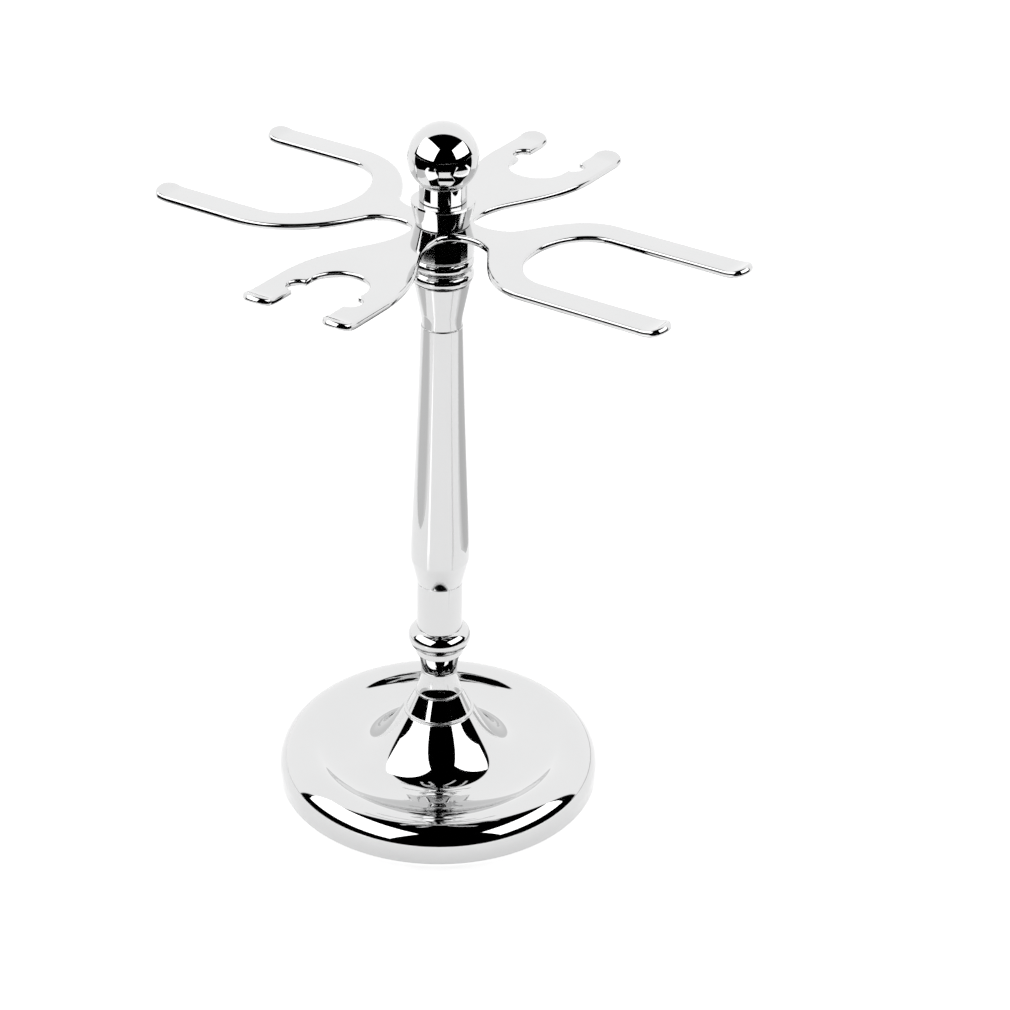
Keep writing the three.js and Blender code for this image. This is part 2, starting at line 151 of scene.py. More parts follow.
def chrome(name, grain):
    """Mirror chrome. Grain is how often the faint buffing marks repeat along X, Y and Z."""
    material = bpy.data.materials.new(name)
    material.use_nodes = True
    nodes, links = material.node_tree.nodes, material.node_tree.links
    shader = nodes["Principled BSDF"]
    shader.inputs["Metallic"].default_value = 1.0
    place = nodes.new("ShaderNodeTexCoord").outputs["Object"]

    tone = nodes.new("ShaderNodeTexNoise")
    tone.inputs["Scale"].default_value = 60
    tone.inputs["Detail"].default_value = 3
    links.new(place, tone.inputs["Vector"])
    plating = nodes.new("ShaderNodeValToRGB")
    plating.color_ramp.elements[0].color = (0.612, 0.613, 0.615, 1)
    plating.color_ramp.elements[1].color = (0.643, 0.644, 0.645, 1)
    links.new(tone.outputs["Fac"], plating.inputs["Fac"])
    links.new(plating.outputs["Color"], shader.inputs["Base Color"])

    stretch = nodes.new("ShaderNodeMapping")
    stretch.inputs["Scale"].default_value = grain
    links.new(place, stretch.inputs["Vector"])
    marks = nodes.new("ShaderNodeTexNoise")
    marks.inputs["Scale"].default_value = 1
    marks.inputs["Detail"].default_value = 8
    marks.inputs["Roughness"].default_value = 0.7
    links.new(stretch.outputs["Vector"], marks.inputs["Vector"])
    gloss = nodes.new("ShaderNodeMapRange")
    gloss.inputs["From Min"].default_value = 0.3
    gloss.inputs["From Max"].default_value = 0.75
    gloss.inputs["To Min"].default_value = 0.012
    gloss.inputs["To Max"].default_value = 0.055
    links.new(marks.outputs["Fac"], gloss.inputs["Value"])
    links.new(gloss.outputs["Result"], shader.inputs["Roughness"])

    ripple = nodes.new("ShaderNodeTexNoise")
    ripple.inputs["Scale"].default_value = 160
    ripple.inputs["Detail"].default_value = 1
    links.new(place, ripple.inputs["Vector"])
    surface = nodes.new("ShaderNodeMix")
    surface.inputs["Factor"].default_value = 0.15
    links.new(ripple.outputs["Fac"], surface.inputs[2])
    links.new(marks.outputs["Fac"], surface.inputs[3])
    bump = nodes.new("ShaderNodeBump")
    bump.inputs["Strength"].default_value = 0.5
    bump.inputs["Distance"].default_value = 0.000012
    links.new(surface.outputs[0], bump.inputs["Height"])
    links.new(bump.outputs["Normal"], shader.inputs["Normal"])
    return material


def fit(piece, body, slot, *nodes):
    """The piece takes the place of its nodes in the frame and moves with their body."""
    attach(piece, body)
    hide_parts(*nodes)
    return piece


def levels(node):
    """Lowest height, highest height and largest radius of a round node, in millimetres."""
    low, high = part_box(node)
    return low.z / MM, high.z / MM, high.x / MM


turned_chrome = chrome("turned_chrome", (150, 150, 2500))
foot_z, bell_top_z, base_radius = levels("base_shell")
sheet = 1.0
rim_rounding = 5.5
rim_centre = (base_radius - rim_rounding, 3.0)
dish_slope = 33
dish_floor_radius = 20.7
bell_foot_radius = 19.0
bell_foot_pull = 4.8
bell_top_spread = 3.1
bell_top_drop = 5.0
bell_top_radius = levels("base_ferrule")[2]
rod_bore = 2.8
dish_edge_radius = rim_centre[0] - rim_rounding * math.sin(math.radians(dish_slope))
dish_curve = (dish_edge_radius - dish_floor_radius) / math.sin(math.radians(dish_slope))
dish_rise = (rim_rounding + dish_curve) * math.cos(math.radians(dish_slope))
dish_centre = (dish_floor_radius, rim_centre[1] + dish_rise)


def dished(inset, lowest):
    """The outside of the base, that far inside the metal, from the foot of its wall to the bell's top."""
    floor_z = dish_centre[1] - dish_curve - inset
    top = (bell_top_radius - inset, bell_top_z - inset)
    return [
        Vector((base_radius - inset, lowest)),
        *arc(rim_centre, rim_rounding - inset, 0, 90 + dish_slope, 28),
        *arc(dish_centre, dish_curve + inset, dish_slope - 90, -90, 16),
        *swept(
            (bell_foot_radius, floor_z),
            (bell_foot_radius - bell_foot_pull - inset / 2, floor_z),
            (top[0] + bell_top_spread, top[1] - bell_top_drop),
            top,
            40,
        ),
    ]


base = turned(
    "dished_base",
    [
        *dished(0, foot_z),
        (rod_bore, bell_top_z),
        (rod_bore, bell_top_z - sheet),
        *reversed(dished(sheet, foot_z)),
    ],
    turned_chrome,
    sides=256,
)
fit(base, "stand", "chrome", "base_shell")


# ---------- Ballast ----------
# Cast zinc weight that fills the shell and keeps the stand upright with a brush on one side.
# It has rough cast faces and a pocket below for the clamping nut.
def cast_metal(name):
    material = bpy.data.materials.new(name)
    material.use_nodes = True
    nodes, links = material.node_tree.nodes, material.node_tree.links
    shader = nodes["Principled BSDF"]
    shader.inputs["Metallic"].default_value = 0.85
    place = nodes.new("ShaderNodeTexCoord").outputs["Object"]
    sand = nodes.new("ShaderNodeTexNoise")
    sand.inputs["Scale"].default_value = 1800
    sand.inputs["Detail"].default_value = 10
    links.new(place, sand.inputs["Vector"])
    cloud = nodes.new("ShaderNodeTexNoise")
    cloud.inputs["Scale"].default_value = 130
    links.new(place, cloud.inputs["Vector"])
    skin = nodes.new("ShaderNodeValToRGB")
    skin.color_ramp.elements[0].position = 0.35
    skin.color_ramp.elements[0].color = (0.065, 0.066, 0.070, 1)
    skin.color_ramp.elements[1].position = 0.70
    skin.color_ramp.elements[1].color = (0.160, 0.158, 0.155, 1)
    links.new(cloud.outputs["Fac"], skin.inputs["Fac"])
    links.new(skin.outputs["Color"], shader.inputs["Base Color"])
    dullness = nodes.new("ShaderNodeMapRange")
    dullness.inputs["To Min"].default_value = 0.55
    dullness.inputs["To Max"].default_value = 0.85
    links.new(sand.outputs["Fac"], dullness.inputs["Value"])
    links.new(dullness.outputs["Result"], shader.inputs["Roughness"])
    bump = nodes.new("ShaderNodeBump")
    bump.inputs["Distance"].default_value = 0.00015
    links.new(sand.outputs["Fac"], bump.inputs["Height"])
    links.new(bump.outputs["Normal"], shader.inputs["Normal"])
    return material


ballast_z = levels("ballast_disc")[0]
ballast_inset = 1.4
pocket_radius = 7.0
pocket_top_z = levels("clamp_washer")[1]
ballast = turned(
    "cast_ballast",
    [
        (pocket_radius, ballast_z),
        *dished(ballast_inset, ballast_z),
        (rod_bore, bell_top_z - ballast_inset),
        (rod_bore, pocket_top_z),
        (pocket_radius, pocket_top_z),
    ],
    cast_metal("cast_zinc"),
    easing=0.5,
    sides=128,
)
fit(ballast, "stand", "cast_weight", "ballast_disc")


# ---------- Foot pad ----------
# Disc of black closed-cell foam stuck under the base, so that it doesn't slip or scratch the shelf.
# It is die-cut, with a slightly rounded lower edge.
def foam(name):
    material = bpy.data.materials.new(name)
    material.use_nodes = True
    nodes, links = material.node_tree.nodes, material.node_tree.links
    shader = nodes["Principled BSDF"]
    shader.inputs["Specular IOR Level"].default_value = 0.25
    place = nodes.new("ShaderNodeTexCoord").outputs["Object"]
    cells = nodes.new("ShaderNodeTexVoronoi")
    cells.inputs["Scale"].default_value = 2600
    links.new(place, cells.inputs["Vector"])
    shade = nodes.new("ShaderNodeTexNoise")
    shade.inputs["Scale"].default_value = 220
    shade.inputs["Detail"].default_value = 5
    links.new(place, shade.inputs["Vector"])
    black = nodes.new("ShaderNodeValToRGB")
    black.color_ramp.elements[0].color = (0.010, 0.010, 0.011, 1)
    black.color_ramp.elements[1].color = (0.030, 0.030, 0.031, 1)
    links.new(shade.outputs["Fac"], black.inputs["Fac"])
    links.new(black.outputs["Color"], shader.inputs["Base Color"])
    dullness = nodes.new("ShaderNodeMapRange")
    dullness.inputs["To Min"].default_value = 0.80
    dullness.inputs["To Max"].default_value = 0.96
    links.new(shade.outputs["Fac"], dullness.inputs["Value"])
    links.new(dullness.outputs["Result"], shader.inputs["Roughness"])
    bump = nodes.new("ShaderNodeBump")
    bump.inputs["Distance"].default_value = 0.00012
    links.new(cells.outputs["Distance"], bump.inputs["Height"])
    links.new(bump.outputs["Normal"], shader.inputs["Normal"])
    return material


pad_bottom_z, pad_top_z, pad_radius = levels("foot_pad")
pad = turned(
    "foam_foot_pad",
    [(0, pad_bottom_z), (pad_radius, pad_bottom_z), (pad_radius, pad_top_z), (0, pad_top_z)],
    foam("black_foam"),
    easing=0.35,
)
fit(pad, "stand", "foam_pad", "foot_pad")


# ---------- Tie rod ----------
# Zinc-plated M5 steel rod through the whole stem, with a rolled thread at each end and a plain middle.
# Everything on the stand is clamped along it.
def plated_steel(name):
    material = bpy.data.materials.new(name)
    material.use_nodes = True
    nodes, links = material.node_tree.nodes, material.node_tree.links
    shader = nodes["Principled BSDF"]
    shader.inputs["Metallic"].default_value = 1.0
    place = nodes.new("ShaderNodeTexCoord").outputs["Object"]
    spots = nodes.new("ShaderNodeTexNoise")
    spots.inputs["Scale"].default_value = 700
    spots.inputs["Detail"].default_value = 6
    links.new(place, spots.inputs["Vector"])
    zinc = nodes.new("ShaderNodeValToRGB")
    zinc.color_ramp.elements[0].position = 0.30
    zinc.color_ramp.elements[0].color = (0.30, 0.31, 0.32, 1)
    zinc.color_ramp.elements[1].position = 0.72
    zinc.color_ramp.elements[1].color = (0.52, 0.53, 0.54, 1)
    links.new(spots.outputs["Fac"], zinc.inputs["Fac"])
    links.new(zinc.outputs["Color"], shader.inputs["Base Color"])
    dullness = nodes.new("ShaderNodeMapRange")
    dullness.inputs["To Min"].default_value = 0.22
    dullness.inputs["To Max"].default_value = 0.46
    links.new(spots.outputs["Fac"], dullness.inputs["Value"])
    links.new(dullness.outputs["Result"], shader.inputs["Roughness"])
    bump = nodes.new("ShaderNodeBump")
    bump.inputs["Strength"].default_value = 0.3
    bump.inputs["Distance"].default_value = 0.00004
    links.new(spots.outputs["Fac"], bump.inputs["Height"])
    links.new(bump.outputs["Normal"], shader.inputs["Normal"])
    return material


steel = plated_steel("zinc_plated_steel")
rod_bottom_z, rod_top_z, rod_radius = levels("tie_rod")
thread_pitch = 0.8
thread_depth = 0.45
lower_thread = 11.0
upper_thread = 22.0


def threaded_rod(name, material, sides=32, steps_per_turn=8):
    """A closed rod whose radius follows the helix of its thread at both ends."""
    height = rod_top_z - rod_bottom_z
    step = thread_pitch / steps_per_turn
    plain_low, plain_high = rod_bottom_z + lower_thread, rod_top_z - upper_thread
    heights = [rod_bottom_z + count * step for count in range(int(height / step) + 1)]
    heights = [z for z in heights if z <= plain_low or z >= plain_high] + [rod_top_z]
    work = bmesh.new()
    rings = []
    for z in heights:
        from_end = min(z - rod_bottom_z, rod_top_z - z)
        into_thread = min(max(plain_low - z, z - plain_high) / thread_pitch, 1)
        ring = []
        for side in range(sides):
            angle = 2 * math.pi * side / sides
            turns = z / thread_pitch - side / sides
            groove = abs(2 * (turns - math.floor(turns)) - 1)
            radius = rod_radius - thread_depth * groove * max(into_thread, 0)
            radius = min(radius, rod_radius - thread_depth + from_end)
            ring.append(work.verts.new(Vector((radius * math.cos(angle), radius * math.sin(angle), z)) * MM))
        rings.append(ring)
    for lower, upper in zip(rings, rings[1:]):
        for side in range(sides):
            beside = (side + 1) % sides
            work.faces.new((lower[side], lower[beside], upper[beside], upper[side]))
    work.faces.new(list(reversed(rings[0])))
    work.faces.new(rings[-1])
    return solid(name, work, material)


fit(threaded_rod("threaded_tie_rod", steel), "stand", "plain_steel", "tie_rod")


# ---------- Nuts and washers ----------
# Zinc-plated steel. A nut, a split spring washer and a plain washer clamp the rod in the base, and a
# thin nut on a washer holds the stem together inside the hollow seat ring.
def hex_nut(name, node, material, sides=72):
    """A hexagonal nut with chamfered corners, opened by the rod's clearance."""
    low_z, high_z, corner_radius = levels(node)
    half_width = corner_radius * math.cos(math.pi / 6)
    chamfer_slope = math.tan(math.radians(30))
    chamfer_z = (corner_radius - half_width) * chamfer_slope
    loop_z = [low_z + chamfer_z * part / 3 for part in range(4)]
    loop_z += [high_z - chamfer_z * part / 3 for part in range(3, -1, -1)]
    work = bmesh.new()
    columns = []
    for side in range(sides):
        angle = 2 * math.pi * side / sides
        out = Vector((math.cos(angle), math.sin(angle), 0))
        to_flat = (angle + math.pi / 6) % (math.pi / 3) - math.pi / 6
        flat_radius = half_width / math.cos(math.pi / 6 - abs(to_flat))
        column = [out * rod_bore + Vector((0, 0, low_z))]
        for z in loop_z:
            cone_radius = half_width + min(z - low_z, high_z - z) / chamfer_slope
            column.append(out * min(flat_radius, cone_radius) + Vector((0, 0, z)))
        column.append(out * rod_bore + Vector((0, 0, high_z)))
        columns.append([work.verts.new(point * MM) for point in column])
    for side in range(sides):
        here, there = columns[side], columns[(side + 1) % sides]
        for index in range(len(here)):
            above = (index + 1) % len(here)
            work.faces.new((here[index], there[index], there[above], here[above]))
    return solid(name, work, material)


def plain_washer(name, node, material):
    low_z, high_z, radius = levels(node)
    outline = [(rod_bore, low_z), (radius, low_z), (radius, high_z), (rod_bore, high_z)]
    return turned(name, outline, material, easing=0.12, sides=96)


def spring_washer(name, node, material, sides=90):
    """A square-section ring with one narrow split."""
    low_z, high_z, radius = levels(node)
    split = 0.12
    section = eased([Vector(p) for p in (
        (rod_bore, low_z), (radius, low_z), (radius, high_z), (rod_bore, high_z),
    )], 0.2)
    work = bmesh.new()
    rings = []
    for side in range(sides + 1):
        angle = split + (2 * math.pi - 2 * split) * side / sides
        out = Vector((math.cos(angle), math.sin(angle), 0))
        ring = [out * reach + Vector((0, 0, height)) for reach, height in section]
        rings.append([work.verts.new(point * MM) for point in ring])
    for here, there in zip(rings, rings[1:]):
        for index in range(len(section)):
            above = (index + 1) % len(section)
            work.faces.new((here[index], there[index], there[above], here[above]))
    work.faces.new(rings[0])
    work.faces.new(list(reversed(rings[-1])))
    return solid(name, work, material)


fit(plain_washer("base_clamp_washer", "clamp_washer", steel), "stand", "plain_steel", "clamp_washer")
fit(spring_washer("base_spring_washer", "lock_washer", steel), "stand", "plain_steel", "lock_washer")
fit(hex_nut("base_hex_nut", "base_nut", steel), "stand", "plain_steel", "base_nut")
fit(plain_washer("stem_plain_washer", "stem_washer", steel), "stand", "plain_steel", "stem_washer")
fit(hex_nut("stem_thin_nut", "stem_nut", steel), "stand", "plain_steel", "stem_nut")


# ---------- Ferrule and neck ----------
# Two turned brass sections, chrome-plated: a cone with a thin flange that caps the bell, then a
# trumpet-shaped neck. Each is drilled through for the rod.
def turned_section(name, node, outside, easing=0.15):
    """A turned section with a plain bore for the rod."""
    low_z, high_z, _ = levels(node)
    piece = turned(name, [(rod_bore, low_z), *outside, (rod_bore, high_z)], turned_chrome, easing)
    return fit(piece, frame_body(node), "chrome", node)


def frame_body(node):
    """The body that the record puts a node in."""
    bodies = frame["record"]["behaviour"]["bodies"]
    return next(body for body, members in bodies.items() if node in members)


ferrule_z, neck_z, flange_radius = levels("base_ferrule")
ferrule_top_radius = 4.95
ring_radius = ferrule_top_radius + 0.25
flange_height = 0.5
flange_lip = 0.55
ring_height = 0.5
turned_section("cone_ferrule", "base_ferrule", [
    (flange_radius, ferrule_z),
    (flange_radius, ferrule_z + flange_height),
    (flange_radius - flange_lip, ferrule_z + flange_height),
    (ferrule_top_radius, neck_z - ring_height),
    (ring_radius, neck_z - ring_height),
    (ring_radius, neck_z),
])

knop_z = levels("stem_neck")[1]
neck_waist = (3.9, 26.9)
neck_top_radius = 4.75
turned_section("trumpet_neck", "stem_neck", [
    *swept(
        (ferrule_top_radius, neck_z), (ferrule_top_radius - 0.6, neck_z + 1.5),
        (neck_waist[0], neck_waist[1] - 2), neck_waist,
    ),
    *swept(
        neck_waist, (neck_waist[0], neck_waist[1] + 1.7),
        (neck_top_radius - 0.4, knop_z - 1.4), (neck_top_radius, knop_z),
    ),
])


# ---------- Knop and body ----------
# The knop is a fat ring turned in one with the plain sleeve above it. The long body flares out of
# the sleeve and tapers to a slim top, like a tool handle.
body_z, knop_radius = levels("stem_knop")[1:]
sleeve_radius = 4.9
knop_ring_radius = sleeve_radius + 0.3
knop_rounding = 2.65
knop_centre = (knop_radius - knop_rounding, 35.5)
knop_low_angle = math.degrees(math.acos((knop_ring_radius - knop_centre[0]) / knop_rounding))
knop_high_angle = math.degrees(math.acos((sleeve_radius - knop_centre[0]) / knop_rounding))
turned_section("knop_and_sleeve", "stem_knop", [
    (knop_ring_radius, knop_z),
    *arc(knop_centre, knop_rounding, -knop_low_angle, knop_high_angle, 24),
    (sleeve_radius, body_z),
])

vase_z, body_radius = levels("stem_body")[1:]
body_top_radius = 4.35
flare_top_z = 55.0
straight_top_z = 58.5
turned_section("long_body", "stem_body", [
    (sleeve_radius, body_z),
    (body_radius, flare_top_z),
    *swept(
        (body_radius, straight_top_z), (body_radius - 0.6, 72),
        (body_top_radius + 0.6, 86), (body_top_radius, vase_z), 40,
    ),
])


# ---------- Vase, beads and seat ring ----------
# The waist opens upwards like a vase under a collar of two beads. The plain ring on top is the seat
# that the hanger plate turns on, hollow below so that it covers the stem's own nut.
beads_z, vase_top_radius = levels("stem_vase")[1:]
waist_radius = 4.15
waist_top_z = 111.4
turned_section("vase_waist", "stem_vase", [
    *swept(
        (waist_radius, vase_z), (waist_radius, vase_z + 1.0),
        (waist_radius + 0.1, waist_top_z + 0.5), (waist_radius + 0.35, waist_top_z + 1.6),
    ),
    (vase_top_radius, beads_z),
])

seat_z, collar_radius = levels("bead_collar")[1:]
bead_height = (seat_z - beads_z) / 2
bead_depth = 1.3
bead_root = collar_radius - bead_depth
turned_section("two_bead_collar", "bead_collar", [
    Vector((bead_root + bead_depth * point.x, beads_z + bead_height * (bead + (1 + point.y) / 2)))
    for bead in range(2)
    for point in arc((0, 0), 1, -90, 90, 24)
], easing=0.05)

seat_top_z = levels("seat_ring")[1]
recess_radius = 5.2
recess_top_z = levels("stem_nut")[1] + 0.2
seat = turned(
    "hollow_seat_ring",
    [
        (recess_radius, seat_z),
        (collar_radius, seat_z),
        (collar_radius, seat_top_z),
        (rod_bore, seat_top_z),
        (rod_bore, recess_top_z),
        (recess_radius, recess_top_z),
    ],
    turned_chrome,
)
fit(seat, "stand", "chrome", "seat_ring")


# ---------- Hanger plate ----------
# Stamped from 1.5 mm steel and chrome-plated: a large and a small fork for the brushes, and two
# claws for the razors. The press turns up the tips, and tumbling rounds the edges.
plate_low, plate_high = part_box("hanger_plate")
small_fork_reach = plate_high.x / MM
big_fork_reach = -plate_low.x / MM
claw_reach = plate_high.y / MM
plate_z = plate_low.z / MM
plate_thickness = 1.5
plate_edge = 0.55
prong_width = 6.3
tip_rounding = 2.2
web_radius = 6.3
web_point = web_radius / math.sqrt(2)
lip_bend = math.radians(30)
lip_outer_radius = 7.0 + plate_thickness
lip_bands = 12
lip_band_width = 0.45


def oval(centre, across, along, start, end, steps=24):
    """Part of an oval, angles in degrees."""
    circle = arc((0, 0), 1, start, end, steps)
    return [Vector((centre[0] + across * point.x, centre[1] + along * point.y)) for point in circle]


def prong_end(reach, inner_half, outer_half):
    centre = (reach - tip_rounding, (inner_half + outer_half) / 2)
    return oval(centre, tip_rounding, (outer_half - inner_half) / 2, -90, 90)


def half_fork(gap, reach, bottom, throat, shoulder, bulge):
    """Half of a fork from the bottom of its gap, round one prong and back to the web at the hub."""
    inner_half = gap / 2
    outer_half = inner_half + prong_width
    neck = (14.5, 6.1)
    return [
        *oval((bottom + throat, 0), throat, inner_half, 180, 90, 32),
        *prong_end(reach, inner_half, outer_half),
        *swept((shoulder, outer_half), (shoulder - bulge, outer_half * 0.98),
               (neck[0] + 2.6, neck[1] + bulge * 0.46), neck, 32),
        *swept(neck, (neck[0] - 1.8, neck[1] - 3.1),
               (web_point + 2.4, web_point - 2.4), (web_point, web_point), 20),
    ]


def half_claw(slot=12.0, bottom=29.2, nick=39.3, nick_radius=2.3):
    """Half of a razor claw: round inside, with a small half-round nick behind its tip."""
    inner_half = slot / 2
    outer_half = inner_half + prong_width
    neck = (13.5, 4.5)
    return [
        *arc((bottom + inner_half, 0), inner_half, 180, 90, 20),
        *arc((nick, inner_half), nick_radius, 180, 0, 20),
        *prong_end(claw_reach, inner_half, outer_half),
        *swept((36, outer_half), (25, outer_half * 0.98), (18.5, 6.4), neck, 32),
        *swept(neck, (10.5, 3.4), (web_point + 1.6, web_point - 1.6), (web_point, web_point), 16),
    ]


def whole_plan():
    """The closed outline of all four arms, counter-clockwise from above."""
    small_fork = half_fork(25.0, small_fork_reach, 21.8, 9.5, 29, 8)
    big_fork = half_fork(31.0, big_fork_reach, 21.4, 12.2, 35, 12)
    halves = [small_fork, half_claw(), big_fork, half_claw()]
    plan = []
    for index, half in enumerate(halves):
        mirrored = [Vector((point.x, -point.y)) for point in reversed(half[1:])]
        turn = Matrix.Rotation(index * math.pi / 2, 2)
        plan += [turn @ point for point in [*mirrored, *half]]
    return [here for here, last in zip(plan, plan[-1:] + plan[:-1]) if (here - last).length > 1e-3]


def inset_loop(loop, inset):
    """The loop moved that far to its left, which is into the plate."""
    moved = []
    for index, point in enumerate(loop):
        before = (point - loop[index - 1]).normalized()
        after = (loop[(index + 1) % len(loop)] - point).normalized()
        sideways = Vector((-before.y - after.y, before.x + after.x)).normalized()
        lean = max(sideways.dot(Vector((-before.y, before.x))), 0.5)
        moved.append(point + sideways * inset / lean)
    return moved


def turn_up(point, heading, reach):
    """Bends what lies past the start of the lip, about a bar above the plate."""
    along = Vector((math.cos(heading), math.sin(heading), 0))
    distance = point.dot(along)
    bend_start = reach - lip_outer_radius * math.sin(lip_bend)
    if distance <= bend_start:
        return point
    outermost = lip_outer_radius - 0.75 * plate_edge
    lean = math.asin(min((distance - bend_start) / outermost, 1))
    radius = lip_outer_radius - (point.z - plate_z)
    bent = bend_start + radius * math.sin(lean)
    sideways = point - along * distance
    raised = plate_z + lip_outer_radius - radius * math.cos(lean)
    return Vector((sideways.x, sideways.y, raised)) + along * bent


def stamped_plate(name, material):
    hole = [Vector((rod_bore * math.cos(a), -rod_bore * math.sin(a)))
            for a in (2 * math.pi * step / 64 for step in range(64))]
    edge = [(plate_edge * (1 - math.sin(a)), plate_edge * (1 - math.cos(a)))
            for a in (math.pi / 2 * step / 4 for step in range(5))]
    section = edge + [(inset, plate_thickness - lift) for inset, lift in reversed(edge)]
    work = bmesh.new()
    lids = ([], [])
    for loop in (whole_plan(), hole):
        rings = []
        for inset, lift in section:
            rings.append([work.verts.new((p.x, p.y, plate_z + lift)) for p in inset_loop(loop, inset)])
        for lower, upper in zip(rings, rings[1:]):
            for index in range(len(loop)):
                beside = (index + 1) % len(loop)
                work.faces.new((lower[index], lower[beside], upper[beside], upper[index]))
        for lid, ring in zip(lids, (rings[0], rings[-1])):
            lid += [work.edges.get((ring[index - 1], ring[index])) for index in range(len(ring))]
    for lid in lids:
        bmesh.ops.triangle_fill(work, use_beauty=True, edges=lid)
    reaches = (small_fork_reach, claw_reach, big_fork_reach, claw_reach)
    for quarter, reach in enumerate(reaches):
        heading = quarter * math.pi / 2
        along = Vector((math.cos(heading), math.sin(heading), 0))
        for band in range(lip_bands):
            cut = along * (reach - lip_band_width * band)
            everything = [*work.verts, *work.edges, *work.faces]
            bmesh.ops.bisect_plane(work, geom=everything, dist=1e-5, plane_co=cut, plane_no=along)
        for vert in work.verts:
            vert.co = turn_up(vert.co, heading, reach)
    for vert in work.verts:
        vert.co *= MM
    return solid(name, work, material)


plate = stamped_plate("four_arm_plate", chrome("stamped_chrome", (900, 900, 900)))
fit(plate, "hanger", "chrome", "hanger_plate")


# ---------- Clamp cup and finial ----------
# An inverted cone stands on the plate, and a short neck with a ball screws down onto it. The ball is
# tapped blind for the rod. All three are turned brass, chrome-plated.
cup_z, cup_top_z, cup_rim_radius = levels("clamp_cup")
cup_foot_radius = 5.4
turned_section("clamp_cone", "clamp_cup", [
    (cup_foot_radius, cup_z),
    (cup_rim_radius, cup_top_z - 0.6),
    (cup_rim_radius, cup_top_z),
])

neck_bottom_z, ball_seat_z, finial_neck_radius = levels("finial_neck")
turned_section("finial_collar", "finial_neck", [
    (finial_neck_radius, neck_bottom_z),
    (finial_neck_radius, ball_seat_z),
])

ball_top_z, ball_radius = levels("ball_knob")[1:]
ball_centre_z = ball_top_z - ball_radius
seat_angle = -math.degrees(math.acos(finial_neck_radius / ball_radius))
hole_top_z = rod_top_z + 1
ball = turned(
    "ball_finial",
    [
        (0, hole_top_z),
        (rod_bore, hole_top_z),
        (rod_bore, ball_seat_z),
        *arc((0, ball_centre_z), ball_radius, seat_angle, 90, 64)[:-1],
        (0, ball_top_z),
    ],
    turned_chrome,
    easing=0.1,
)
fit(ball, "finial", "chrome", "ball_knob")


# ---------- Studio ----------
# Not part of the stand. A white sweep stands behind and over it, and two softboxes flank the camera in
# a dark room. The softboxes and the dark and grey cards show only in the chrome.
camera_heading = math.radians(-56)
to_camera = Vector((math.cos(camera_heading), math.sin(camera_heading), 0))
to_right = Vector((-to_camera.y, to_camera.x, 0))
stand_height = cad_box[1].z
softbox_strength = 2.6


def glowing(name, colour, strength):
    material = bpy.data.materials.new(name)
    material.use_nodes = True
    nodes, links = material.node_tree.nodes, material.node_tree.links
    nodes.clear()
    light = nodes.new("ShaderNodeEmission")
    light.inputs["Color"].default_value = (*colour, 1)
    light.inputs["Strength"].default_value = strength
    links.new(light.outputs["Emission"], nodes.new("ShaderNodeOutputMaterial").inputs["Surface"])
    return material


def staged(name, corners, faces, material):
    mesh = bpy.data.meshes.new(name)
    mesh.from_pydata([tuple(corner) for corner in corners], [], faces)
    mesh.materials.append(material)
    made = bpy.data.objects.new(name, mesh)
    bpy.context.scene.collection.objects.link(made)
    return made


def card(name, centre, across, up, material):
    """A flat card, given by its centre and its two half sides."""
    corners = [centre + across * a + up * b for a, b in ((-1, -1), (1, -1), (1, 1), (-1, 1))]
    return staged(name, corners, [(0, 1, 2, 3)], material)


def around(azimuth):
    """The level direction at an azimuth in degrees. 0 is straight towards the camera."""
    angle = math.radians(azimuth)
    return to_camera * math.cos(angle) + to_right * math.sin(angle)


def only_in_reflections(made):
    made.visible_camera = False
    made.visible_diffuse = False
    made.visible_shadow = False


def softbox(name, azimuth, elevation, distance, width, height):
    """A lit panel that faces the plate."""
    rise = math.radians(elevation)
    towards = around(azimuth) * math.cos(rise) + Vector((0, 0, math.sin(rise)))
    across = Vector((0, 0, 1)).cross(towards).normalized()
    up = towards.cross(across)
    centre = Vector((0, 0, stand_height)) + towards * distance
    panel = glowing(name, (1, 1, 1), softbox_strength)
    only_in_reflections(card(name, centre, across * width / 2, up * height / 2, panel))


softbox("left_softbox", -64, 30, 0.62, 0.87, 0.58)
softbox("right_softbox", 68.5, 26.7, 0.80, 0.81, 0.48)

floor_material = bpy.data.materials.new("pale_floor")
floor_material.use_nodes = True
floor_shader = floor_material.node_tree.nodes["Principled BSDF"]
floor_shader.inputs["Base Color"].default_value = (0.82, 0.82, 0.82, 1)
floor_shader.inputs["Roughness"].default_value = 0.9
floor_shader.inputs["Specular IOR Level"].default_value = 0.0
floor_shader.inputs["Emission Color"].default_value = (1, 1, 1, 1)
floor_shader.inputs["Emission Strength"].default_value = 0.80
floor_half = 6
card("floor", Vector((0, 0, 0)), Vector((floor_half, 0, 0)), Vector((0, floor_half, 0)), floor_material)


def curved_card(name, first_edge, second_edge, from_azimuth, to_azimuth, material, steps=60):
    """A band about the stem between two (distance, height) edges, seen only in the chrome."""
    corners = []
    for step in range(steps + 1):
        out = around(from_azimuth + (to_azimuth - from_azimuth) * step / steps)
        for reach, height in (first_edge, second_edge):
            corners.append(out * reach + Vector((0, 0, height)))
    faces = [(2 * step, 2 * step + 1, 2 * step + 3, 2 * step + 2) for step in range(steps)]
    only_in_reflections(staged(name, corners, faces, material))


